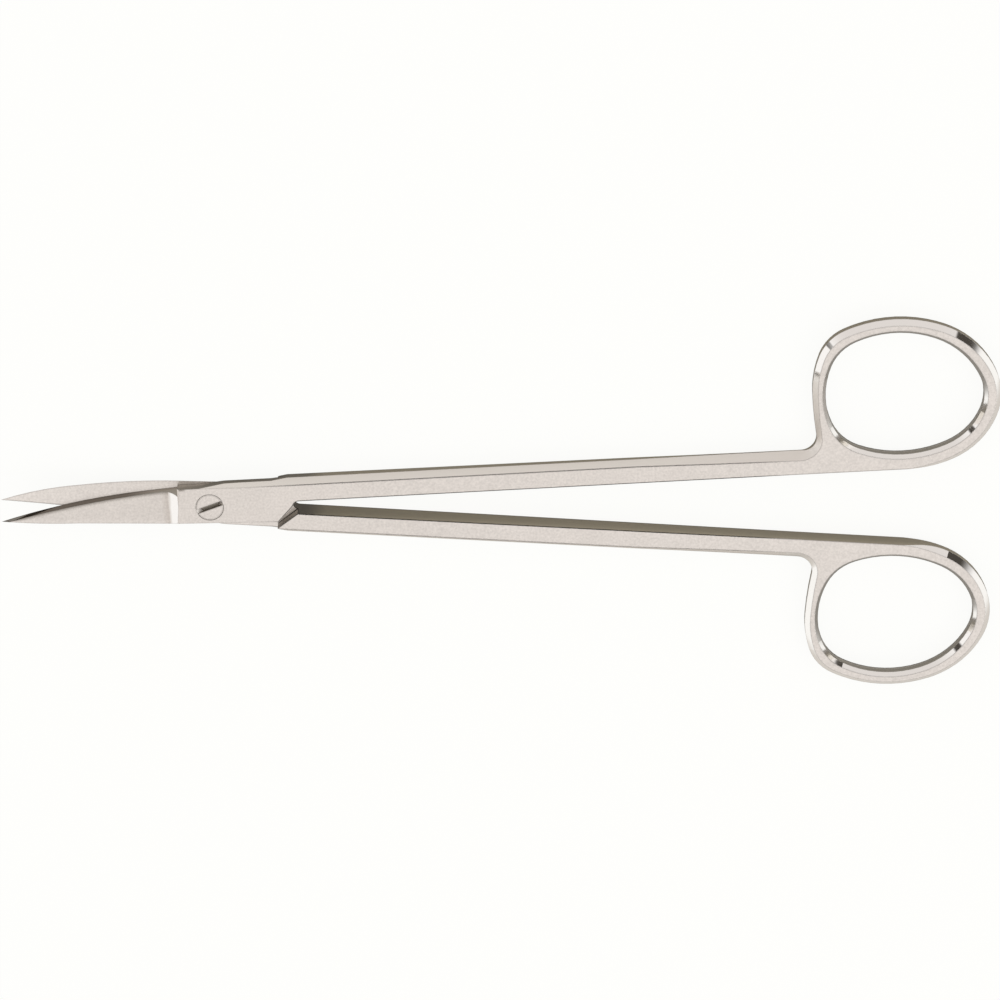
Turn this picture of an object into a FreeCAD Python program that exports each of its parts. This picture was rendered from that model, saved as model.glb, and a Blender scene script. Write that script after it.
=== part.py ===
import FreeCAD, Part
import Sketcher
import math
import os
from FreeCAD import Placement, Rotation, Vector

# Surgical scissors, curved on the flat, in millimetres.
# Each half is one forging: blade, joint plate, shank and finger ring. Both halves are the same
# forging, one of them turned over, apart from the bend of the blades, which rise together.
# A half is drawn closed: +X runs from the screw to the ring, +Y to the half's own ring, and the
# XY plane is the middle plane where the two joint plates meet.
# The finished part stands on its back face: origin on the screw's axis in that face, +Z up.

doc = FreeCAD.newDocument("Scissors")
sheet = doc.addObject("Spreadsheet::Sheet", "Sizes")

DRIVING_SIZES = {
    # forging as a whole
    "jointThickness": 4.2,
    "ringThickness": 3.1,
    "taperStart": 14.0,
    "taperEnd": 94.0,
    "restAngle": 3.24,
    # joint plate
    "plateLow": 3.95,
    "plateHigh": 3.3,
    "plateEnd": 9.9,
    "plateTipX": 13.2,
    "plateTipY": -0.5,
    "plateFillet": 1.1,
    "flareStart": -1.5,
    "flareEnd": 2.5,
    "flareHigh": 3.66,
    "rootStart": 10.0,
    "rootEnd": 12.5,
    "lapGap": 0.05,
    "shoulderX": 14.34,
    "shoulderSlope": 1.14,
    "shoulderTurn": 3.0,
    "shoulderLean": 1.78,
    # shank
    "sideGap": 0.3,
    "shankWidth": 3.6,
    "creaseStart": 5.0,
    "creaseBend": 68.0,
    "creaseJoint": 3.12,
    "creaseEnd": 2.65,
    "jointBevelSlope": 0.58,
    "bevelSlope": 0.85,
    "bevelReach": 1.9,
    # blade
    "ridgeX": 5.0,
    "ridgeLength": 2.6,
    "bladeLength": 33.1,
    "bladeBase": 0.92,
    "bladeTip": 0.5,
    "faceBelly": 0.25,
    "faceSlope": 0.12,
    "edgeBase": 2.95,
    "edgeBelly": 0.39,
    "grindSlope": 0.5,
    "spineBase": 3.44,
    "spineMiddle": 2.15,
    "spineMiddleX": 21.0,
    "spineBelly": 0.14,
    "spineTipBelly": 0.3,
    "spineSlope": 0.42,
    "bendStart": 9.5,
    "bendRadius": 80.0,
    # finger ring, opening
    "openLowX": 110.45,
    "openRadiusLow": 18.28,
    "openRadiusLowEnd": 9.96,
    "openRadiusEnd": 7.33,
    "openRadiusHighEnd": 12.95,
    "openRadiusHigh": 16.37,
    "openRadiusNear": 7.19,
    "openBevelWidth": 0.55,
    "openBevelDepth": 0.75,
    # finger ring, outside
    "ringWidthLow": 2.3,
    "bowShift": 2.65,
    "bowRadiusLow": 13.8,
    "bowRadiusLowEnd": 12.8,
    "bowRadiusEnd": 10.1,
    "bowRadiusHighEnd": 14.6,
    "bowRadiusHigh": 20.7,
    "bowRadiusNear": 7.3,
    "bowRadiusNeck": 16.2,
    "neckRadius": 60.0,
    "neckFillet": 2.3,
    "creaseInset": 0.82,
    "creaseRunOut": 26.0,
    # pivot screw
    "headRadius": 2.2,
    "headSink": 0.03,
    "headCone": 0.9,
    "screwRadius": 1.2,
    "threadRadius": 1.05,
    "screwClearance": 0.04,
    "slotWidth": 0.75,
    "slotDepth": 0.7,
    "slotAngle": 21.0,
}
for row, (alias, number) in enumerate(DRIVING_SIZES.items(), start=1):
    sheet.set(f"A{row}", alias)
    sheet.set(f"B{row}", str(number))
    sheet.setAlias(f"B{row}", alias)
doc.recompute()


def size(alias):
    return f"Sizes.{alias}"


def number(formula):
    return float(sheet.evalExpression(formula.replace("Sizes.", "")))


HALF = "Sizes.jointThickness / 2"
RING_HALF = "Sizes.ringThickness / 2"
LAP_FACE = "Sizes.lapGap / 2"
SHANK_TOP = "(Sizes.sideGap + Sizes.shankWidth)"
RIDGE = "-Sizes.ridgeX"
TIP = "-Sizes.bladeLength"
# the outlines of blade and joint plate overlap here, under the slope of the ridge
BLADE_ROOT = "(-Sizes.ridgeX - Sizes.ridgeLength / 2)"
# cutting outlines run past the metal: a little, beyond its sides, and above its top
PAST = "2"
FAR_SIDE = "4 * Sizes.plateHigh"
FAR_TOP = "3 * Sizes.jointThickness"
FULL_TURN = 360
INNER_FACE_SWEEP = 150
NEGLIGIBLE = 1e-4


def new_sketch(body, name, plane_role, lift=None):
    sketch = body.newObject("Sketcher::SketchObject", name)
    plane = [item for item in body.Origin.OriginFeatures if item.Role == plane_role][0]
    sketch.AttachmentSupport = [(plane, "")]
    sketch.MapMode = "FlatFace"
    if lift:
        sketch.setExpression("AttachmentOffset.Base.z", lift)
    return sketch


def bind(sketch, constraint, formula):
    index = sketch.addConstraint(constraint)
    sketch.setExpression(f"Constraints[{index}]", formula)


def pin(sketch, geometry, end, x, y):
    # holds one point at the place that two formulas give, measured from the origin
    for kind, formula in (("DistanceX", x), ("DistanceY", y)):
        value = number(formula)
        if value < 0:
            bind(sketch, Sketcher.Constraint(kind, geometry, end, -1, 1, -value), f"-({formula})")
        else:
            bind(sketch, Sketcher.Constraint(kind, -1, 1, geometry, end, value), formula)


def arc_by_radius(start, end, radius, turn):
    # turn is 1 where the way from start to end bends left, -1 where it bends right
    chord = end - start
    middle = (start + end) * 0.5
    rise = math.sqrt(max(radius ** 2 - (chord.Length / 2) ** 2, 0.0))
    left = Vector(-chord.y, chord.x, 0).normalize()
    centre = middle + left * (rise * turn)
    first, last = (start, end) if turn > 0 else (end, start)
    angles = [math.atan2(point.y - centre.y, point.x - centre.x) for point in (first, last)]
    circle = Part.Circle(centre, Vector(0, 0, 1), radius)
    return Part.ArcOfCircle(circle, angles[0], angles[1])


def draw(sketch, corners, closed=True):
    # corners: (x, y, way), where way leads to the next corner. None is a straight line,
    # ("arc", radius, turn) an arc, ("through", x, y) an arc over a middle point.
    points = [Vector(number(x), number(y), 0) for x, y, _ in corners]
    count = len(corners) if closed else len(corners) - 1
    ends = []
    for index in range(count):
        start = points[index]
        end = points[(index + 1) % len(points)]
        way = corners[index][2]
        turn = 1
        if way is None:
            geometry = sketch.addGeometry(Part.LineSegment(start, end), False)
        elif way[0] == "arc":
            turn = way[2]
            geometry = sketch.addGeometry(arc_by_radius(start, end, number(way[1]), turn), False)
        else:
            middle = Vector(number(way[1]), number(way[2]), 0)
            turn = 1 if (middle - start).cross(end - middle).z > 0 else -1
            arc = Part.Arc(start, middle, end) if turn > 0 else Part.Arc(end, middle, start)
            geometry = sketch.addGeometry(arc, False)
        ends.append((geometry, (1, 2) if turn > 0 else (2, 1)))
    for index in range(count):
        geometry, (first, last) = ends[index]
        x, y, way = corners[index]
        pin(sketch, geometry, first, x, y)
        if index + 1 < count or closed:
            following, (next_first, _) = ends[(index + 1) % count]
            sketch.addConstraint(Sketcher.Constraint("Coincident", geometry, last, following, next_first))
        else:
            pin(sketch, geometry, last, corners[-1][0], corners[-1][1])
        if way is not None and way[0] == "arc":
            bind(sketch, Sketcher.Constraint("Radius", geometry, number(way[1])), way[1])
        if way is not None and way[0] == "through":
            middle = sketch.addGeometry(Part.Point(Vector(number(way[1]), number(way[2]), 0)), True)
            pin(sketch, middle, 1, way[1], way[2])
            sketch.addConstraint(Sketcher.Constraint("PointOnObject", middle, 1, geometry))
    return sketch


def extrude(body, kind, name, sketch, length, symmetric=False):
    feature = body.newObject(kind, name)
    feature.Profile = sketch
    feature.SideType = "Symmetric" if symmetric else "One side"
    feature.setExpression("Length", length)
    sketch.Visibility = False
    return feature


def normals_at(angles):
    return [(math.cos(math.radians(angle)), math.sin(math.radians(angle))) for angle in angles]


def opening_corners():
    # The opening is an oval of eight arcs, each 45 degrees long, centred on its sides and corners.
    # Six radii are given. The last two follow, because the oval closes.
    normals = normals_at([45 * index - 112.5 for index in range(9)])
    steps = [(last[0] - first[0], last[1] - first[1]) for first, last in zip(normals, normals[1:])]
    radii = [size("openRadius" + part) for part in ("Low", "LowEnd", "End", "HighEnd", "High", "Near")]
    sum_x = " + ".join(f"{radius} * ({step[0]:.9f})" for radius, step in zip(radii, steps))
    sum_y = " + ".join(f"{radius} * ({step[1]:.9f})" for radius, step in zip(radii, steps))
    (ax, ay), (bx, by) = steps[6], steps[7]
    area = ax * by - ay * bx
    radii.append(f"((-({sum_x}) * ({by:.9f}) + ({sum_y}) * ({bx:.9f})) / ({area:.9f}))")
    radii.append(f"((-({sum_y}) * ({ax:.9f}) + ({sum_x}) * ({ay:.9f})) / ({area:.9f}))")
    x = f"{size('openLowX')} + {radii[0]} * ({normals[0][0]:.9f})"
    y = f"{size('sideGap')} + {size('ringWidthLow')} + {radii[0]} * (1 + ({normals[0][1]:.9f}))"
    corners = []
    for radius, step in zip(radii, steps):
        corners.append((x, y, ("arc", radius, 1)))
        x = f"{x} + {radius} * ({step[0]:.9f})"
        y = f"{y} + {radius} * ({step[1]:.9f})"
    return corners


def bow_corners():
    # Outer side of the ring, anticlockwise from its lowest point to the neck. The first arc and
    # the last are 22.5 degrees long, the others 45. Each corner comes with its outward normal.
    normals = normals_at([-90, -67.5, -22.5, 22.5, 67.5, 112.5, 157.5, 180])
    parts = ("Low", "LowEnd", "End", "HighEnd", "High", "Near", "Neck")
    x, y = f"{size('openLowX')} + {size('bowShift')}", size("sideGap")
    corners = [(x, y, normals[0])]
    for part, first, last in zip(parts, normals, normals[1:]):
        x = f"{x} + {size('bowRadius' + part)} * ({last[0] - first[0]:.9f})"
        y = f"{y} + {size('bowRadius' + part)} * ({last[1] - first[1]:.9f})"
        corners.append((x, y, last))
    return corners, [size("bowRadius" + part) for part in parts]


BOW_CORNERS, BOW_RADII = bow_corners()
NECK_X, NECK_Y = BOW_CORNERS[-1][:2]


def neck_points(radius, fillet, top):
    # Centre of a fillet that rolls between the neck's arc and the shank's outer side, and the
    # point where it leaves the neck's arc.
    centre_x = f"({NECK_X} + Sizes.neckRadius)"
    fillet_y = f"({top} + {fillet})"
    drop = f"({NECK_Y} - {fillet_y})"
    reach = f"({radius} + {fillet})"
    fillet_x = f"({centre_x} - sqrt({reach} ^ 2 - {drop} ^ 2))"
    leave_x = f"({fillet_x} + ({centre_x} - {fillet_x}) * {fillet} / {reach})"
    leave_y = f"({fillet_y} + {drop} * {fillet} / {reach})"
    return fillet_x, leave_x, leave_y


def rise_at(x, bend):
    # how far the blade's inner face has left the middle plane at this x
    run = f"(-({x}) - Sizes.bendStart)"
    return f"(({bend}) * (Sizes.bendRadius - sqrt(Sizes.bendRadius ^ 2 - {run} ^ 2)))"


def blanks(body):
    # blade, joint plate, shank and bow as two overlapping blocks
    plan = new_sketch(body, "BladePlan", "XY_Plane")
    draw(plan, [
        (TIP, f"-({FAR_SIDE} / 2)", None),
        (BLADE_ROOT, f"-({FAR_SIDE} / 2)", None),
        (BLADE_ROOT, f"{FAR_SIDE} / 2", None),
        (TIP, f"{FAR_SIDE} / 2", None),
    ])
    extrude(body, "PartDesign::Pad", "BladeBlank", plan, FAR_TOP, True)

    fillet_x, leave_x, leave_y = neck_points("Sizes.neckRadius", "Sizes.neckFillet", SHANK_TOP)
    corners = [
        (BLADE_ROOT, f"-(Sizes.plateLow + {PAST})", None),
        ("Sizes.plateEnd", "-Sizes.plateLow", None),
        ("Sizes.plateTipX", "Sizes.plateTipY", ("arc", "Sizes.plateFillet", -1)),
        ("Sizes.plateTipX + Sizes.plateFillet", "Sizes.sideGap", None),
    ]
    corners += [(x, y, ("arc", radius, 1)) for (x, y, _), radius in zip(BOW_CORNERS, BOW_RADII)]
    corners += [
        (NECK_X, NECK_Y, ("arc", "Sizes.neckRadius", 1)),
        (leave_x, leave_y, ("arc", "Sizes.neckFillet", -1)),
        (fillet_x, SHANK_TOP, None),
        ("Sizes.rootEnd", SHANK_TOP, None),
        ("Sizes.rootStart", "Sizes.flareHigh", None),
        ("Sizes.flareEnd", "Sizes.flareHigh", None),
        ("Sizes.flareStart", "Sizes.plateHigh", None),
        (BLADE_ROOT, "Sizes.plateHigh", None),
    ]
    plan = draw(new_sketch(body, "HandlePlan", "XY_Plane"), corners)
    extrude(body, "PartDesign::Pad", "HandleBlank", plan, "Sizes.jointThickness", True)


def slanted_cut(body, name, sketch, length, direction):
    cut = extrude(body, "PartDesign::Pocket", name, sketch, length, True)
    cut.UseCustomVector = True
    cut.Direction = direction


def blade(body, bend):
    # bend is 1 where the blade rises away from its inner face, -1 where it falls towards it
    tip_rise = rise_at(TIP, bend)

    # outer face: a hollow slope under the ridge, then the long bend, thinner towards the tip.
    # It leans down to the cutting edge, so the ridge stands a little askew.
    foot = "(-Sizes.ridgeX - Sizes.ridgeLength)"
    drop = f"({HALF} - Sizes.bladeBase)"
    hollow = f"((Sizes.ridgeLength ^ 2 + {drop} ^ 2) / (2 * {drop}))"
    steepness = f"(2 * {drop} * Sizes.ridgeLength / (Sizes.ridgeLength ^ 2 - {drop} ^ 2))"
    middle = f"({foot} + {TIP}) / 2"
    outer = new_sketch(body, "BladeOuterProfile", "XZ_Plane")
    draw(outer, [
        (f"{RIDGE} + {PAST}", f"{HALF} + {PAST} * {steepness}", None),
        (RIDGE, HALF, ("arc", hollow, -1)),
        (foot, "Sizes.bladeBase", (
            "through",
            middle,
            f"{rise_at(middle, bend)} + (Sizes.bladeBase + Sizes.bladeTip) / 2 + Sizes.faceBelly",
        )),
        (TIP, f"{tip_rise} + Sizes.bladeTip", None),
        (f"{TIP} - {PAST}", f"{tip_rise} + Sizes.bladeTip", None),
        (f"{TIP} - {PAST}", f"2 * {FAR_TOP}", None),
        (f"{RIDGE} + {PAST}", f"2 * {FAR_TOP}", None),
    ])
    slanted_cut(body, "BladeOuterFace", outer, f"3 * {FAR_SIDE}", Vector(0, 1, -number("Sizes.faceSlope")))

    # inner face: turned about the screw's axis, so that the blades pass each other at any angle
    near = "-Sizes.ridgeX / 2"
    far = f"({TIP} - 2 * {PAST})"
    inner = new_sketch(body, "BladeInnerProfile", "XZ_Plane")
    draw(inner, [
        (near, LAP_FACE, None),
        ("-Sizes.bendStart", LAP_FACE, ("arc", "Sizes.bendRadius", -bend)),
        (far, f"{rise_at(far, bend)} + {LAP_FACE}", None),
        (far, f"-({FAR_TOP})", None),
        (near, f"-({FAR_TOP})", None),
    ])
    groove = body.newObject("PartDesign::Groove", "BladeInnerFace")
    groove.Profile = inner
    groove.ReferenceAxis = (inner, ["V_Axis"])
    groove.Midplane = True
    groove.Angle = INNER_FACE_SWEEP

    # cutting edge: ground on a slant that meets the inner face in the edge
    lean = "(-Sizes.grindSlope)"
    middle = f"({RIDGE} + {TIP}) / 2"
    edge = new_sketch(body, "CuttingEdgePlan", "XY_Plane")
    draw(edge, [
        (RIDGE, "Sizes.edgeBase", (
            "through",
            middle,
            f"Sizes.edgeBase / 2 + Sizes.edgeBelly - {lean} * {rise_at(middle, bend)}",
        )),
        (TIP, f"-{lean} * {tip_rise}", None),
        (f"{TIP} - {PAST}", f"-{lean} * {tip_rise}", None),
        (f"{TIP} - {PAST}", f"2 * {FAR_SIDE}", None),
        (RIDGE, f"2 * {FAR_SIDE}", None),
    ])
    slanted_cut(body, "CuttingEdge", edge, f"4 * {FAR_TOP}", Vector(0, number(lean), 1))

    # spine of the blade and low side of the joint plate: one slanted side, widest at the lap face
    lean = "Sizes.spineSlope"
    bend_x = "(-Sizes.spineMiddleX)"
    near_x = f"({RIDGE} + {bend_x}) / 2"
    far_x = f"({bend_x} + {TIP}) / 2"
    bend_y = f"-(Sizes.spineMiddle + {lean} * {rise_at(bend_x, bend)})"
    near_level = "(Sizes.spineBase + Sizes.spineMiddle) / 2 + Sizes.spineBelly"
    near_y = f"-({near_level} + {lean} * {rise_at(near_x, bend)})"
    far_y = f"-(Sizes.spineMiddle / 2 + Sizes.spineTipBelly + {lean} * {rise_at(far_x, bend)})"
    side_fall = "((Sizes.plateLow - Sizes.spineBase) / (Sizes.plateEnd + Sizes.ridgeX))"
    spine = new_sketch(body, "SpinePlan", "XY_Plane")
    draw(spine, [
        (f"Sizes.plateEnd + {PAST}", f"-(Sizes.plateLow + {PAST} * {side_fall})", None),
        (RIDGE, "-Sizes.spineBase", ("through", near_x, near_y)),
        (bend_x, bend_y, ("through", far_x, far_y)),
        (TIP, f"-{lean} * {tip_rise}", None),
        (f"{TIP} - {PAST}", f"-{lean} * {tip_rise}", None),
        (f"{TIP} - {PAST}", f"-2 * {FAR_SIDE}", None),
        (f"Sizes.plateEnd + {PAST}", f"-2 * {FAR_SIDE}", None),
    ])
    slanted_cut(body, "Spine", spine, f"4 * {FAR_TOP}", Vector(0, number(lean), 1))


def handle(body):
    # both faces taper from the joint to the ring
    side = new_sketch(body, "TaperProfile", "XZ_Plane")
    beyond = "(2 * Sizes.openLowX)"
    for sign in ("", "-"):
        draw(side, [
            ("Sizes.taperStart", f"{sign}({HALF})", None),
            ("Sizes.taperEnd", f"{sign}({RING_HALF})", None),
            (beyond, f"{sign}({RING_HALF})", None),
            (beyond, f"{sign}({FAR_TOP})", None),
            ("Sizes.taperStart", f"{sign}({FAR_TOP})", None),
        ])
    extrude(body, "PartDesign::Pocket", "Taper", side, "Sizes.openLowX", True)

    # opening for the finger
    opening = new_sketch(body, "OpeningPlan", "XY_Plane")
    draw(opening, opening_corners())
    extrude(body, "PartDesign::Pocket", "FingerOpening", opening, FAR_TOP, True)


def inner_wire_edges(shape, height):
    # the edges of holes in the flat faces at plus and minus this height
    names = []
    for face in shape.Faces:
        box = face.BoundBox
        flat = box.ZLength < NEGLIGIBLE and abs(abs(box.ZMin) - height) < NEGLIGIBLE
        if not flat:
            continue
        for wire in face.Wires:
            if wire.isSame(face.OuterWire):
                continue
            for edge in wire.Edges:
                names += [f"Edge{i}" for i, item in enumerate(shape.Edges, start=1) if item.isSame(edge)]
    return names


def bevel_section(body, name, x, y, z, slope):
    # triangle across the shank: its long side passes through (y, z) and falls outwards
    wedge = new_sketch(body, name, "YZ_Plane", x)
    draw(wedge, [
        (f"{y} - {PAST} * {slope}", f"{z} + {PAST}", None),
        (f"{y} + Sizes.bevelReach", f"{z} - Sizes.bevelReach / {slope}", None),
        (f"{y} + Sizes.bevelReach", f"{z} + {PAST}", None),
    ])
    wedge.Visibility = False
    return wedge


def bevels(body):
    # opening: both rims are bevelled for the finger
    doc.recompute()
    base = body.Tip
    rim = body.newObject("PartDesign::Chamfer", "OpeningBevel")
    rim.Base = (base, inner_wire_edges(base.Shape, number(RING_HALF)))
    rim.ChamferType = "Two distances"
    rim.setExpression("Size", "Sizes.openBevelWidth")
    rim.setExpression("Size2", "Sizes.openBevelDepth")

    # outer side of the ring: a crease runs round the ring and the neck, with a bevel outside it
    inset = "Sizes.creaseInset"
    crease_neck = f"(Sizes.neckRadius - {inset})"
    crease_fillet = f"({SHANK_TOP} + Sizes.neckFillet - Sizes.creaseEnd)"
    fillet_x, leave_x, leave_y = neck_points(crease_neck, crease_fillet, "Sizes.creaseEnd")
    crease = []
    for x, y, (across, along) in BOW_CORNERS:
        crease.append((f"{x} - ({across:.9f}) * {inset}", f"{y} - ({along:.9f}) * {inset}"))
    corners = [
        (fillet_x, "Sizes.creaseEnd", ("arc", crease_fillet, 1)),
        (leave_x, leave_y, ("arc", crease_neck, -1)),
    ]
    for index in range(len(crease) - 1, 1, -1):
        corners.append((*crease[index], ("arc", f"({BOW_RADII[index - 1]} - {inset})", -1)))
    # at the low side of the ring the crease leaves towards the edge and runs out
    across, along = BOW_CORNERS[1][2]
    run_out = "Sizes.creaseRunOut"
    corners.append((*crease[1], ("arc", run_out, -1)))
    corners.append((
        f"{crease[1][0]} - ({across:.9f}) * {run_out}",
        f"{crease[1][1]} - (1 + ({along:.9f})) * {run_out}",
        None,
    ))
    path = new_sketch(body, "CreasePath", "XY_Plane", RING_HALF)
    draw(path, corners, closed=False)
    neck_end = (fillet_x, "Sizes.creaseEnd", RING_HALF, "Sizes.bevelSlope")
    ring_bevel = body.newObject("PartDesign::SubtractivePipe", "RingBevel")
    ring_bevel.Profile = bevel_section(body, "RingBevelSection", *neck_end)
    ring_bevel.Spine = (path, [f"Edge{index + 1}" for index in range(len(corners) - 1)])
    ring_bevel.Mode = "Standard"
    ring_bevel.Transition = "Transformed"

    # outer side of the shank: the same crease comes from nothing at the joint, widest at the neck
    bend_z = (
        f"({HALF} - ({HALF} - {RING_HALF}) * (Sizes.creaseBend - Sizes.taperStart)"
        " / (Sizes.taperEnd - Sizes.taperStart))"
    )
    steep = "Sizes.jointBevelSlope"
    stations = [
        ("Sizes.flareStart", "Sizes.plateHigh", HALF, steep),
        ("Sizes.creaseStart", "Sizes.creaseJoint", HALF, steep),
        ("Sizes.creaseBend", "Sizes.creaseJoint", bend_z, steep),
        neck_end,
    ]
    sections = []
    for index, station in enumerate(stations, start=1):
        sections.append(bevel_section(body, f"ShankBevelSection{index}", *station))
    shank_bevel = body.newObject("PartDesign::SubtractiveLoft", "ShankBevel")
    shank_bevel.Profile = sections[0]
    shank_bevel.Sections = sections[1:]
    shank_bevel.Ruled = True

    behind = body.newObject("PartDesign::Mirrored", "BevelsBehind")
    behind.Originals = [ring_bevel, shank_bevel]
    plane = [item for item in body.Origin.OriginFeatures if item.Role == "XY_Plane"][0]
    behind.MirrorPlane = (plane, [""])
    body.Tip = behind


def joint(body, bore):
    # half lap: below the middle plane the half is cut away as far as a slanted shoulder, whose
    # outer end turns away and leaves room for the corner of the other plate
    turn_x = "(Sizes.shoulderX - Sizes.shoulderTurn * Sizes.shoulderSlope)"
    lap = new_sketch(body, "LapPlan", "XY_Plane", LAP_FACE)
    draw(lap, [
        (RIDGE, f"-({FAR_SIDE})", None),
        (f"Sizes.shoulderX + {FAR_SIDE} * Sizes.shoulderSlope", f"-({FAR_SIDE})", None),
        (turn_x, "Sizes.shoulderTurn", None),
        (f"{turn_x} + ({FAR_SIDE} - Sizes.shoulderTurn) * Sizes.shoulderLean", FAR_SIDE, None),
        (RIDGE, FAR_SIDE, None),
    ])
    extrude(body, "PartDesign::Pocket", "Lap", lap, FAR_TOP)

    hole = new_sketch(body, "ScrewHoleProfile", "XZ_Plane")
    draw(hole, bore)
    groove = body.newObject("PartDesign::Groove", "ScrewHole")
    groove.Profile = hole
    groove.ReferenceAxis = (hole, ["V_Axis"])
    groove.Angle = FULL_TURN


def half(name, bend, bore, placement):
    body = doc.addObject("PartDesign::Body", name)
    body.Label = name
    blanks(body)
    blade(body, bend)
    handle(body)
    bevels(body)
    joint(body, bore)
    doc.recompute()
    body.Placement = placement
    return body


HEAD_TOP = f"({HALF} - Sizes.headSink)"
HEAD_FOOT = f"({HEAD_TOP} - Sizes.headCone)"
CLEAR = "Sizes.screwClearance"
FRONT_BORE = [
    ("0", f"{HALF} + {PAST}", None),
    ("0", f"-{PAST}", None),
    (f"Sizes.screwRadius + {CLEAR}", f"-{PAST}", None),
    (f"Sizes.screwRadius + {CLEAR}", HEAD_FOOT, None),
    (f"Sizes.headRadius + {CLEAR}", HEAD_TOP, None),
    (f"Sizes.headRadius + {CLEAR}", f"{HALF} + {PAST}", None),
]
BACK_BORE = [
    ("0", f"{HALF} + {PAST}", None),
    ("0", f"-{PAST}", None),
    ("Sizes.threadRadius", f"-{PAST}", None),
    ("Sizes.threadRadius", f"{HALF} + {PAST}", None),
]

middle_plane = Vector(0, 0, number(HALF))
rest = number("Sizes.restAngle")
front = half("front_half", 1, FRONT_BORE, Placement(middle_plane, Rotation(Vector(0, 0, 1), rest)))
turned_over = Rotation(Vector(0, 0, 1), -rest).multiply(Rotation(Vector(1, 0, 0), 180))
back = half("back_half", -1, BACK_BORE, Placement(middle_plane, turned_over))


def pivot_screw():
    body = doc.addObject("PartDesign::Body", "pivot_screw")
    body.Label = "pivot_screw"
    profile = new_sketch(body, "ScrewProfile", "XZ_Plane")
    draw(profile, [
        ("0", HEAD_TOP, None),
        ("0", f"-({HALF})", None),
        ("Sizes.threadRadius", f"-({HALF})", None),
        ("Sizes.threadRadius", f"-{LAP_FACE}", None),
        ("Sizes.screwRadius", LAP_FACE, None),
        ("Sizes.screwRadius", HEAD_FOOT, None),
        ("Sizes.headRadius", HEAD_TOP, None),
    ])
    turned = body.newObject("PartDesign::Revolution", "Turned")
    turned.Profile = profile
    turned.ReferenceAxis = (profile, ["V_Axis"])
    turned.Angle = FULL_TURN
    slot = new_sketch(body, "SlotPlan", "XY_Plane", HEAD_TOP)
    length = "2 * Sizes.headRadius"
    draw(slot, [
        (f"-{length}", "-Sizes.slotWidth / 2", None),
        (length, "-Sizes.slotWidth / 2", None),
        (length, "Sizes.slotWidth / 2", None),
        (f"-{length}", "Sizes.slotWidth / 2", None),
    ])
    extrude(body, "PartDesign::Pocket", "DriverSlot", slot, "Sizes.slotDepth")
    doc.recompute()
    body.Placement = Placement(middle_plane, Rotation(Vector(0, 0, 1), number("Sizes.slotAngle")))
    return body


screw = pivot_screw()
doc.recompute()

for item in doc.Objects:
    broken = [state for state in ("Invalid", "Error") if state in item.State]
    if broken:
        raise RuntimeError(f"{item.Label} is {broken[0]}")
for body in (front, back, screw):
    if body.Shape.isNull() or not body.Shape.isValid():
        raise RuntimeError(f"{body.Label} has no valid shape")
    if len(body.Shape.Solids) != 1:
        raise RuntimeError(f"{body.Label} is {len(body.Shape.Solids)} solids")
    box = body.Shape.BoundBox
    low = [round(value, 2) for value in (box.XMin, box.YMin, box.ZMin)]
    high = [round(value, 2) for value in (box.XMax, box.YMax, box.ZMax)]
    print(body.Label, round(body.Shape.Volume, 3), low, high)

os.makedirs("parts", exist_ok=True)
for body in (front, back, screw):
    body.Shape.exportStep(f"parts/{body.Label}.step")
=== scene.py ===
import math

import bpy
from mathutils import Matrix, Vector

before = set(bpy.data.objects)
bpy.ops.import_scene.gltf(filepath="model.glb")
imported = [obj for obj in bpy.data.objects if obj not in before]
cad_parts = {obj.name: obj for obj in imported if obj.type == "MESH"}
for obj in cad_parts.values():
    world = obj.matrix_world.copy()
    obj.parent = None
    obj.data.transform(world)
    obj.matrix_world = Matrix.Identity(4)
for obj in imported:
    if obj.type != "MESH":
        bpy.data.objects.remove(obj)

for name in ("Cube", "Light", "Camera"):  # whatever an empty Blender file starts with
    if name in bpy.data.objects:
        bpy.data.objects.remove(bpy.data.objects[name], do_unlink=True)

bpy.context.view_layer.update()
mm = 0.001
scene = bpy.context.scene
print("frame loaded:", ", ".join(sorted(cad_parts)))

# settings that many nodes share
smooth = {"interpolation_type": "SMOOTHSTEP"}
times = {"operation": "MULTIPLY"}
larger = {"operation": "MAXIMUM"}
dot = {"operation": "DOT_PRODUCT"}
colours = {"data_type": "RGBA"}
numbers = {"data_type": "FLOAT"}


def linearColour(hexText):
    # sRGB hex, as picked from a swatch, to the linear values that shaders want
    channels = [int(hexText[i:i + 2], 16) / 255 for i in (1, 3, 5)]
    linear = [c / 12.92 if c <= 0.04045 else ((c + 0.055) / 1.055) ** 2.4 for c in channels]
    return (*linear, 1.0)


def addNode(tree, kind, settings=None, **inputs):
    # inputs are values, or (node, socket) pairs to link from. An input is named as Blender names
    # it, with _ for a space, or by its number after an i.
    node = tree.nodes.new(kind)
    for name, value in (settings or {}).items():
        setattr(node, name, value)
    for name, value in inputs.items():
        byNumber = name[0] == "i" and name[1:].isdigit()
        key = int(name[1:]) if byNumber else name.replace("_", " ")
        if isinstance(value, tuple) and isinstance(value[0], bpy.types.Node):
            tree.links.new(value[0].outputs[value[1]], node.inputs[key])
        else:
            node.inputs[key].default_value = value
    return node


# camera: it looks down on the scissors from a little way up the picture
camera = {
    "target": Vector((46.2, 1.38, 4.2)) * mm,
    "distance": 650 * mm,
    "tilt": 23.23,            # degrees from straight down
    "roll": 0.0975,           # degrees about the line of sight
    "frameWidth": 159 * mm,   # what the picture spans at the target
    "sensorWidth": 36,
    "clip": (0.01, 10),
}


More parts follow.
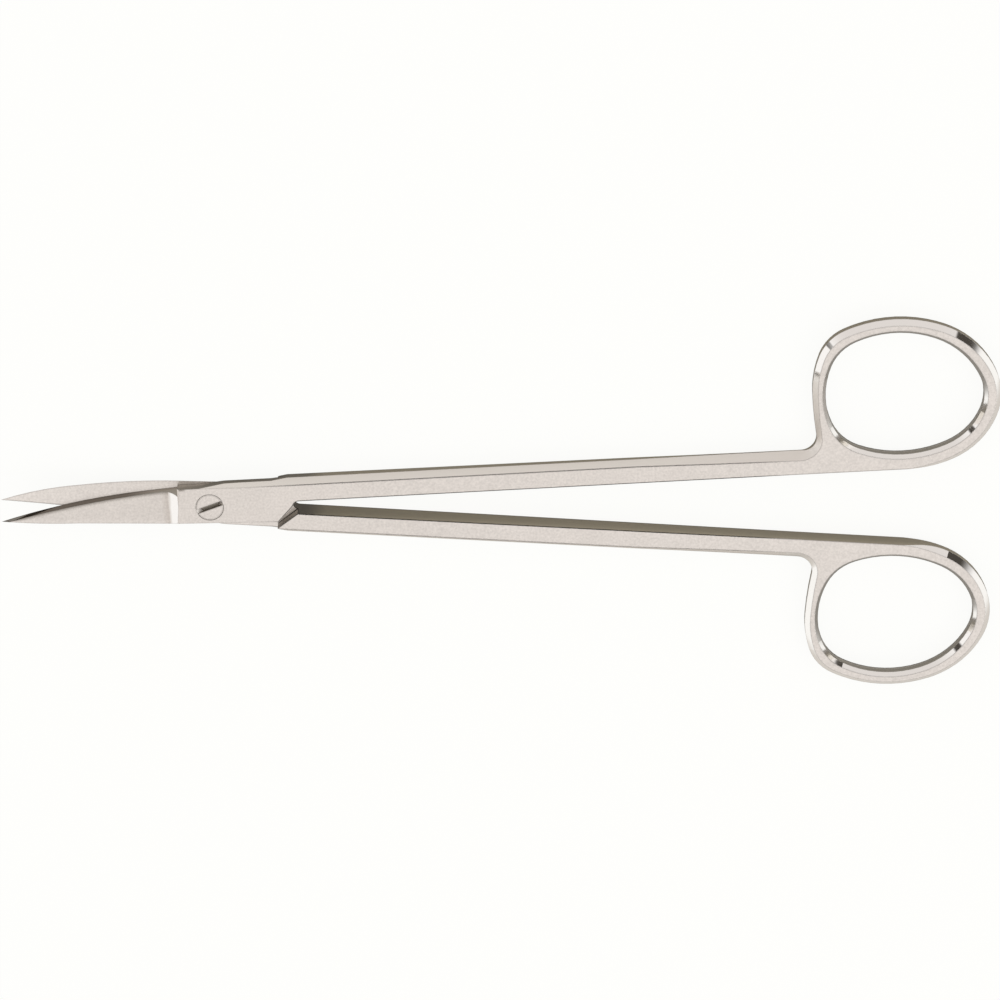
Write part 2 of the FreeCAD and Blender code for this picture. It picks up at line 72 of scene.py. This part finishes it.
def buildCamera():
    data = bpy.data.cameras.new("photoCamera")
    data.sensor_width = camera["sensorWidth"]
    data.lens = data.sensor_width * camera["distance"] / camera["frameWidth"]
    data.clip_start, data.clip_end = camera["clip"]
    holder = bpy.data.objects.new("photoCamera", data)
    scene.collection.objects.link(holder)
    tilted = Matrix.Rotation(math.radians(-camera["tilt"]), 4, "X")
    rolled = Matrix.Rotation(math.radians(camera["roll"]), 4, "Z")
    away = Matrix.Translation((0, 0, camera["distance"]))
    holder.matrix_world = Matrix.Translation(camera["target"]) @ tilted @ away @ rolled
    scene.camera = holder


buildCamera()
print("camera ready")


# studio: a pale table in a light room with two dark doorways, and one soft lamp.
# A pair of limits is where a soft step starts and where it ends.
studio = {
    "tableSize": 3.0,
    "tableDrop": 0.02 * mm,           # keeps the table clear of the faces that rest on it
    "tableColour": "#FAFAF7",
    "paintedFootShade": "#9C9892",          # painted shade that the metal mirrors of the table right at its foot,
    "paintedBesideShade": "#D2CEC8",        # a little way off,
    "paintedRingShade": "#7C7871",        # and inside the rings, which shade it
    "footToBeside": (2.5 * mm, 6 * mm),         # lengths of a mirrored ray
    "nearToFar": (10 * mm, 22 * mm),            # the same, from grey table to white table
    "ringMiddle": (109.7 * mm, 19.2 * mm, 0),   # the oval that a ring shades
    "ringReach": (12.6 * mm, 10.0 * mm),
    "ringShade": (1.0, 0.9),                    # in shares of its reach
    "tableWhite": (1.0, 1.0, 0.983, 1.0),
    "whiteStrength": 1.0,
    "whiteToCamera": 0.92,            # share of plain white in what the camera sees of the table
    "whiteToMetal": (0.10, 0.97),     # the same in what the metal mirrors, near and far
    "roomColour": "#FFFEFD",
    "roomStrength": 0.985,
    # limits in the room are heights or distances on a sphere of radius 1 round the part
    "frontColour": "#E4E0DD",         # the wall low on the camera's side
    "frontY": (0.35, 0.85),
    "frontZ": (0.7, 0.3),
    "ceilingColour": "#E2DDD8",       # the ceiling beyond the tips
    "ceilingX": (-0.22, -0.50),
    "ceilingZ": (0.55, 0.75),
    "doorColour": "#4A4641",
    "doorAhead": (0.0, 0.1),
    # each door's angle in degrees from +X towards +Y, its two sides, its bottom and its top
    "doors": (
        {"at": 38.0, "first": (-0.42, -0.08), "second": (0.17, 0.13),
         "bottom": (0.0, 0.03), "top": (0.50, 0.35)},
        {"at": 155.0, "first": (-0.10, -0.05), "second": (0.09, 0.05),
         "bottom": (-0.10, -0.05), "top": (0.20, 0.10)},
    ),
}


def distanceFrom(tree, coordinates, middle, reach):
    # 1 on the oval round either ring's middle, as the part is alike on both sides of y = 0
    apart = addNode(tree, "ShaderNodeVectorMath", {"operation": "ABSOLUTE"},
                    i0=(coordinates, "Object"))
    apart = addNode(tree, "ShaderNodeVectorMath", {"operation": "SUBTRACT"},
                    i0=(apart, 0), i1=middle)
    apart = addNode(tree, "ShaderNodeVectorMath", times,
                    i0=(apart, 0), i1=(1 / reach[0], 1 / reach[1], 0))
    return addNode(tree, "ShaderNodeVectorMath", {"operation": "LENGTH"}, i0=(apart, 0))


def buildRoom():
    world = bpy.data.worlds.new("studioRoom")
    scene.world = world
    world.use_nodes = True
    tree = world.node_tree
    tree.nodes.clear()
    direction = addNode(tree, "ShaderNodeTexCoord")
    parts = addNode(tree, "ShaderNodeSeparateXYZ", Vector=(direction, "Generated"))
    regions = [
        ("frontColour", ((parts, "Y", studio["frontY"]), (parts, "Z", studio["frontZ"]))),
        ("ceilingColour", ((parts, "X", studio["ceilingX"]), (parts, "Z", studio["ceilingZ"]))),
    ]
    for door in studio["doors"]:
        angle = math.radians(door["at"])
        across = addNode(tree, "ShaderNodeVectorMath", dot,
                         i0=(direction, "Generated"), i1=(-math.sin(angle), math.cos(angle), 0))
        ahead = addNode(tree, "ShaderNodeVectorMath", dot,
                        i0=(direction, "Generated"), i1=(math.cos(angle), math.sin(angle), 0))
        regions.append(("doorColour", (
            (across, "Value", door["first"]),
            (across, "Value", door["second"]),
            (ahead, "Value", studio["doorAhead"]),
            (parts, "Z", door["bottom"]),
            (parts, "Z", door["top"]),
        )))
    colour = linearColour(studio["roomColour"])
    for shade, limits in regions:
        region = None
        for source, socket, (start, end) in limits:
            step = addNode(tree, "ShaderNodeMapRange", smooth,
                           Value=(source, socket), From_Min=start, From_Max=end)
            if region:
                step = addNode(tree, "ShaderNodeMath", times, i0=(region, 0), i1=(step, 0))
            region = step
        painted = addNode(tree, "ShaderNodeMix", colours,
                          i0=(region, 0), i6=colour, i7=linearColour(studio[shade]))
        colour = (painted, 2)
    sky = addNode(tree, "ShaderNodeBackground", Color=colour, Strength=studio["roomStrength"])
    addNode(tree, "ShaderNodeOutputWorld", Surface=(sky, "Background"))


def buildTable():
    # matt white card: plain white to the camera, while the metal mirrors it with painted shade,
    # grey close by and darker inside the rings
    material = bpy.data.materials.new("mattWhiteCard")
    material.use_nodes = True
    tree = material.node_tree
    tree.nodes.clear()
    ray = addNode(tree, "ShaderNodeLightPath")
    place = addNode(tree, "ShaderNodeTexCoord")
    apart = distanceFrom(tree, place, studio["ringMiddle"], studio["ringReach"])
    shaded = addNode(tree, "ShaderNodeMapRange", smooth, Value=(apart, "Value"),
                     From_Min=studio["ringShade"][0], From_Max=studio["ringShade"][1])
    beside = addNode(tree, "ShaderNodeMapRange", smooth, Value=(ray, "Ray Length"),
                     From_Min=studio["footToBeside"][0], From_Max=studio["footToBeside"][1])
    far = addNode(tree, "ShaderNodeMapRange", smooth, Value=(ray, "Ray Length"),
                  From_Min=studio["nearToFar"][0], From_Max=studio["nearToFar"][1],
                  To_Min=studio["whiteToMetal"][0], To_Max=studio["whiteToMetal"][1])
    # painted shade on the table, seen only in the metal: grey at the foot, paler a little way
    # off, darker inside the rings
    mirrored = addNode(tree, "ShaderNodeMix", colours, i0=(beside, 0),
                       i6=linearColour(studio["paintedFootShade"]),
                       i7=linearColour(studio["paintedBesideShade"]))
    mirrored = addNode(tree, "ShaderNodeMix", colours, i0=(shaded, 0),
                       i6=(mirrored, 2), i7=linearColour(studio["paintedRingShade"]))
    paint = addNode(tree, "ShaderNodeMix", colours, i0=(ray, "Is Glossy Ray"),
                    i6=linearColour(studio["tableColour"]), i7=(mirrored, 2))
    painted = addNode(tree, "ShaderNodeBsdfDiffuse", Color=(paint, 2))
    plain = addNode(tree, "ShaderNodeEmission",
                    Color=studio["tableWhite"], Strength=studio["whiteStrength"])
    toCamera = addNode(tree, "ShaderNodeMath", larger,
                       i0=(ray, "Is Camera Ray"), i1=(ray, "Is Transmission Ray"))
    cameraShare = addNode(tree, "ShaderNodeMath", times,
                          i0=(toCamera, 0), i1=studio["whiteToCamera"])
    metalShare = addNode(tree, "ShaderNodeMath", times, i0=(ray, "Is Glossy Ray"), i1=(far, 0))
    share = addNode(tree, "ShaderNodeMath", larger, i0=(cameraShare, 0), i1=(metalShare, 0))
    surface = addNode(tree, "ShaderNodeMixShader",
                      Fac=(share, 0), i1=(painted, "BSDF"), i2=(plain, "Emission"))
    addNode(tree, "ShaderNodeOutputMaterial", Surface=(surface, "Shader"))
    bpy.ops.mesh.primitive_plane_add(size=studio["tableSize"],
                                     location=(0, 0, -studio["tableDrop"]))
    table = bpy.context.object
    table.name = "table"
    table.data.materials.append(material)


keyLamp = {
    "place": Vector((0.85, -0.45, 0.75)),
    "aim": Vector((0.05, 0, 0)),
    "size": (0.4, 0.4),
    "power": 1.2,
}


def buildLamp():
    data = bpy.data.lights.new("keySoftbox", "AREA")
    data.shape = "RECTANGLE"
    data.size, data.size_y = keyLamp["size"]
    data.energy = keyLamp["power"]
    lamp = bpy.data.objects.new("keySoftbox", data)
    scene.collection.objects.link(lamp)
    lamp.location = keyLamp["place"]
    sight = keyLamp["aim"] - keyLamp["place"]
    lamp.rotation_euler = sight.to_track_quat("-Z", "Y").to_euler()


buildRoom()
buildTable()
buildLamp()
print("studio ready")


# Stainless steel, glass-beaded: the beads leave flats and shank bevels an even, warm satin grey
# with a fine mottle. Over that, ring bevels and blade ridges are polished and mirror the room,
# the side walls are ground, and the edges are broken a little. Painted shade darkens the side
# walls (most at the joint), the slant along the cutting edge, the blade's face beside it, the
# screw's slot and a line along every edge and crease.
# Levels are heights of a face's normal, and X, Y and Z are places on the part.
steel = {
    "satin": "#DED7D1",
    "polished": "#FAF7F4",
    "bevel": "#EAE4DE",
    "facetShade": "#7E7871",            # the slant ground along the cutting edge, with painted shade, darkest towards the tips
    "facetRootShade": "#A8A29A",
    # side walls: painted shade makes them darker than the flats, and darker still at the joint
    "side": "#CDC5B2",
    "jointSideShade": "#A09A90",
    "ringInside": "#EDE8DF",
    "line": "#221F1C",             # painted shade: a dark line along edges and creases
    "slotShade": "#8A847B",             # painted shade in the screw's slot
    # painted shade where the blade's face would roll off along the cutting edge
    "rollOffShade": "#9A938B",
    "satinRoughness": 0.36,
    "polishedRoughness": 0.06,
    "sideRoughness": 0.30,
    "ringInsideRoughness": 0.12,
    "grainSize": 0.35 * mm,        # coarser than the pits of real beading, which wouldn't show
    "grainDepth": 0.50,
    "grainDetail": 3.0,
    "grainRoughness": 0.6,
    "cloudSize": 6.0 * mm,         # slow changes of tone over the flats
    "cloudDepth": 0.10,
    "cloudDetail": 2.0,
    "cloudRoughness": 0.5,
    "pitStrength": 0.05,
    "pitDepth": 0.01 * mm,
    "bevelLevel": (0.955, 0.935),
    "steepLevel": (0.49, 0.46),
    "sideLevel": (0.43, 0.41),
    "ringX": (90 * mm, 93 * mm),       # from here on the bevels are polished. The front half's
    "bowX": (97 * mm, 99 * mm),        # stays satin round the neck, up to here along x
    "neckY": (21.0 * mm, 22.5 * mm),   # or here along y,
    "lowY": (0.5 * mm, -0.5 * mm),     # and the back half lies at negative y
    "bladeX": (-3.5 * mm, -4.5 * mm),  # from here to the tips it is blade
    "tipwardX": (-8 * mm, -14 * mm),
    "shankX": (15 * mm, 19 * mm),
    "openingMiddle": (109.7 * mm, 19.2 * mm, 0),   # an oval that holds a ring's opening
    "openingReach": (14.6 * mm, 11.8 * mm),
    "openingEdge": (1.03, 0.97),                   # in shares of its reach
    "ringZ": (0.55 * mm, 3.65 * mm),   # the rings' two faces
    "ringBulge": 0.6,                  # how far the wall inside a ring is rounded
    "slotZ": (4.0 * mm, 3.7 * mm),
    "edgeRadius": 0.10 * mm,
    "edgeSamples": 6,
    "lineRadius": 0.36 * mm,
    "lineSamples": 8,
    "lineTurn": (0.99, 0.94),          # agreement of the normals there and round about
    "crispX": (5 * mm, 16 * mm),       # the painted edge shade grows from the joint plate to the shank,
    "crispShare": (0.22, 1.0),
    "wornX": (86 * mm, 93 * mm),       # and is painted fainter round the rings
    "wornShare": (1.0, 0.42),
    "rollOffShadeRadius": 0.9 * mm,
    "rollOffShadeSamples": 8,
    "rollOffShadeOuter": (0.5, 0.8),          # on the face that looks away from the other blade,
    "rollOffShadeRoll": (0.04, 0.5),          # where it starts to roll off sideways
}


def buildSteel(name, rollOffShadeTowards=0, slotted=False):
    material = bpy.data.materials.new(name)
    material.use_nodes = True
    tree = material.node_tree
    tree.nodes.clear()
    coordinates = addNode(tree, "ShaderNodeTexCoord")
    facing = addNode(tree, "ShaderNodeSeparateXYZ", Vector=(coordinates, "Normal"))
    place = addNode(tree, "ShaderNodeSeparateXYZ", Vector=(coordinates, "Object"))
    level = addNode(tree, "ShaderNodeMath", {"operation": "ABSOLUTE"}, i0=(facing, "Z"))
    apart = distanceFrom(tree, coordinates, steel["openingMiddle"], steel["openingReach"])

    # edges are broken a little, and painted shade lays a dark line along edges and creases,
    # darker than the faces beside them
    rounded = addNode(tree, "ShaderNodeBevel", {"samples": steel["edgeSamples"]},
                      Radius=steel["edgeRadius"])
    around = addNode(tree, "ShaderNodeBevel", {"samples": steel["lineSamples"]},
                     Radius=steel["lineRadius"])
    true = addNode(tree, "ShaderNodeNewGeometry")
    turned = addNode(tree, "ShaderNodeVectorMath", dot,
                     i0=(around, "Normal"), i1=(true, "Normal"))

    masks = {}
    for mask, source, socket, limits in (
        ("bevelled", level, 0, "bevelLevel"),
        ("steep", level, 0, "steepLevel"),
        ("side", level, 0, "sideLevel"),
        ("ring", place, "X", "ringX"),
        ("bow", place, "X", "bowX"),
        ("neck", place, "Y", "neckY"),
        ("low", place, "Y", "lowY"),
        ("blade", place, "X", "bladeX"),
        ("tipward", place, "X", "tipwardX"),
        ("shank", place, "X", "shankX"),
        ("inside", apart, "Value", "openingEdge"),
        ("sharp", turned, "Value", "lineTurn"),
    ):
        start, end = steel[limits]
        masks[mask] = addNode(tree, "ShaderNodeMapRange", smooth,
                              Value=(source, socket), From_Min=start, From_Max=end)
    for mask in ("crisp", "worn"):
        start, end = steel[mask + "X"]
        first, last = steel[mask + "Share"]
        masks[mask] = addNode(tree, "ShaderNodeMapRange", smooth, Value=(place, "X"),
                              From_Min=start, From_Max=end, To_Min=first, To_Max=last)
    for mask, operation, first, second in (
        ("bowOrNeck", larger, "bow", "neck"),
        ("pastNeck", larger, "bowOrNeck", "low"),
        ("polishedRing", times, "ring", "pastNeck"),
        ("ringOrBlade", larger, "polishedRing", "blade"),
        ("polished", times, "ringOrBlade", "bevelled"),
        ("grownEdgeShade", times, "sharp", "crisp"),
        ("line", times, "grownEdgeShade", "worn"),
        ("facetRootShade", times, "steep", "blade"),
        ("facetShade", times, "steep", "tipward"),
    ):
        masks[mask] = addNode(tree, "ShaderNodeMath", operation,
                              i0=(masks[first], 0), i1=(masks[second], 0))

    # the beading's mottle
    grain = addNode(tree, "ShaderNodeTexNoise", Vector=(coordinates, "Object"),
                    Scale=1 / steel["grainSize"], Detail=steel["grainDetail"],
                    Roughness=steel["grainRoughness"])
    cloud = addNode(tree, "ShaderNodeTexNoise", Vector=(coordinates, "Object"),
                    Scale=1 / steel["cloudSize"], Detail=steel["cloudDetail"],
                    Roughness=steel["cloudRoughness"])
    mottle = addNode(tree, "ShaderNodeMath", {"operation": "MULTIPLY_ADD"}, i0=(grain, "Fac"),
                     i1=steel["grainDepth"],
                     i2=1 - (steel["grainDepth"] + steel["cloudDepth"]) / 2)
    mottle = addNode(tree, "ShaderNodeMath", {"operation": "MULTIPLY_ADD"}, i0=(cloud, "Fac"),
                     i1=steel["cloudDepth"], i2=(mottle, 0))
    colour = addNode(tree, "ShaderNodeMix", {"data_type": "RGBA", "blend_type": "MULTIPLY"},
                     i0=1.0, i6=linearColour(steel["satin"]), i7=(mottle, 0))

    if rollOffShadeTowards:
        # painted shade: the blade's face is darkened softly along the cutting edge, where a face
        # that rolls off would turn from the light
        rollOffShade = addNode(tree, "ShaderNodeBevel", {"samples": steel["rollOffShadeSamples"]},
                        Radius=steel["rollOffShadeRadius"])
        rollOffShade = addNode(tree, "ShaderNodeVectorTransform",
                        {"vector_type": "NORMAL", "convert_from": "WORLD",
                         "convert_to": "OBJECT"}, Vector=(rollOffShade, "Normal"))
        rollOffShade = addNode(tree, "ShaderNodeSeparateXYZ", Vector=(rollOffShade, 0))
        outer = addNode(tree, "ShaderNodeMapRange", smooth, Value=(facing, "Z"),
                        From_Min=steel["rollOffShadeOuter"][0] * rollOffShadeTowards,
                        From_Max=steel["rollOffShadeOuter"][1] * rollOffShadeTowards)
        roll = addNode(tree, "ShaderNodeMapRange", smooth, Value=(rollOffShade, "Y"),
                       From_Min=steel["rollOffShadeRoll"][0] * rollOffShadeTowards,
                       From_Max=steel["rollOffShadeRoll"][1] * rollOffShadeTowards)
        roll = addNode(tree, "ShaderNodeMath", times, i0=(roll, 0), i1=(outer, 0))
        roll = addNode(tree, "ShaderNodeMath", times, i0=(roll, 0), i1=(masks["blade"], 0))
        colour = addNode(tree, "ShaderNodeMix", colours, i0=(roll, 0),
                         i6=(colour, 2), i7=linearColour(steel["rollOffShade"]))

    # side walls: painted shade darkens them, most at the joint; inside the rings they are buffed
    # for the finger
    wall = addNode(tree, "ShaderNodeMix", colours, i0=(masks["shank"], 0),
                   i6=linearColour(steel["jointSideShade"]), i7=linearColour(steel["side"]))
    wall = addNode(tree, "ShaderNodeMix", colours, i0=(masks["inside"], 0),
                   i6=(wall, 2), i7=linearColour(steel["ringInside"]))
    for mask, layer in (
        ("bevelled", linearColour(steel["bevel"])),
        ("polished", linearColour(steel["polished"])),
        ("facetRootShade", linearColour(steel["facetRootShade"])),
        ("facetShade", linearColour(steel["facetShade"])),
        ("side", (wall, 2)),
        ("line", linearColour(steel["line"])),
    ):
        colour = addNode(tree, "ShaderNodeMix", colours,
                         i0=(masks[mask], 0), i6=(colour, 2), i7=layer)
    if slotted:
        # painted shade deep in the screw's slot
        slotShade = addNode(tree, "ShaderNodeMapRange", smooth, Value=(place, "Z"),
                       From_Min=steel["slotZ"][0], From_Max=steel["slotZ"][1])
        colour = addNode(tree, "ShaderNodeMix", colours,
                         i0=(slotShade, 0), i6=(colour, 2), i7=linearColour(steel["slotShade"]))

    roughness = addNode(tree, "ShaderNodeMix", numbers, i0=(masks["polished"], 0),
                        i2=steel["satinRoughness"], i3=steel["polishedRoughness"])
    ground = addNode(tree, "ShaderNodeMix", numbers, i0=(masks["inside"], 0),
                     i2=steel["sideRoughness"], i3=steel["ringInsideRoughness"])
    roughness = addNode(tree, "ShaderNodeMix", numbers, i0=(masks["side"], 0),
                        i2=(roughness, 0), i3=(ground, 0))

    # the wall inside a ring is rounded from face to face
    lift = addNode(tree, "ShaderNodeMapRange", Value=(place, "Z"),
                   From_Min=steel["ringZ"][0], From_Max=steel["ringZ"][1],
                   To_Min=-steel["ringBulge"], To_Max=steel["ringBulge"])
    for mask in ("inside", "side"):
        lift = addNode(tree, "ShaderNodeMath", times, i0=(lift, 0), i1=(masks[mask], 0))
    lift = addNode(tree, "ShaderNodeCombineXYZ", Z=(lift, 0))
    bulged = addNode(tree, "ShaderNodeVectorMath", {"operation": "ADD"},
                     i0=(rounded, "Normal"), i1=(lift, 0))
    bulged = addNode(tree, "ShaderNodeVectorMath", {"operation": "NORMALIZE"}, i0=(bulged, 0))
    pits = addNode(tree, "ShaderNodeBump", Strength=steel["pitStrength"],
                   Distance=steel["pitDepth"], Height=(grain, "Fac"), Normal=(bulged, 0))
    metal = addNode(tree, "ShaderNodeBsdfPrincipled", Base_Color=(colour, 2), Metallic=1.0,
                    Roughness=(roughness, 0), Normal=(pits, "Normal"))
    addNode(tree, "ShaderNodeOutputMaterial", Surface=(metal, "BSDF"))
    return material


finishes = {
    "front_half": {"name": "glassBeadedSteelFront", "rollOffShadeTowards": 1},
    "back_half": {"name": "glassBeadedSteelBack", "rollOffShadeTowards": -1},
    "pivot_screw": {"name": "glassBeadedSteelScrew", "slotted": True},
}

for nodeName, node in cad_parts.items():
    node.data.materials.clear()
    node.data.materials.append(buildSteel(**finishes[nodeName]))
print("steel ready")

scene.view_settings.view_transform = "Standard"
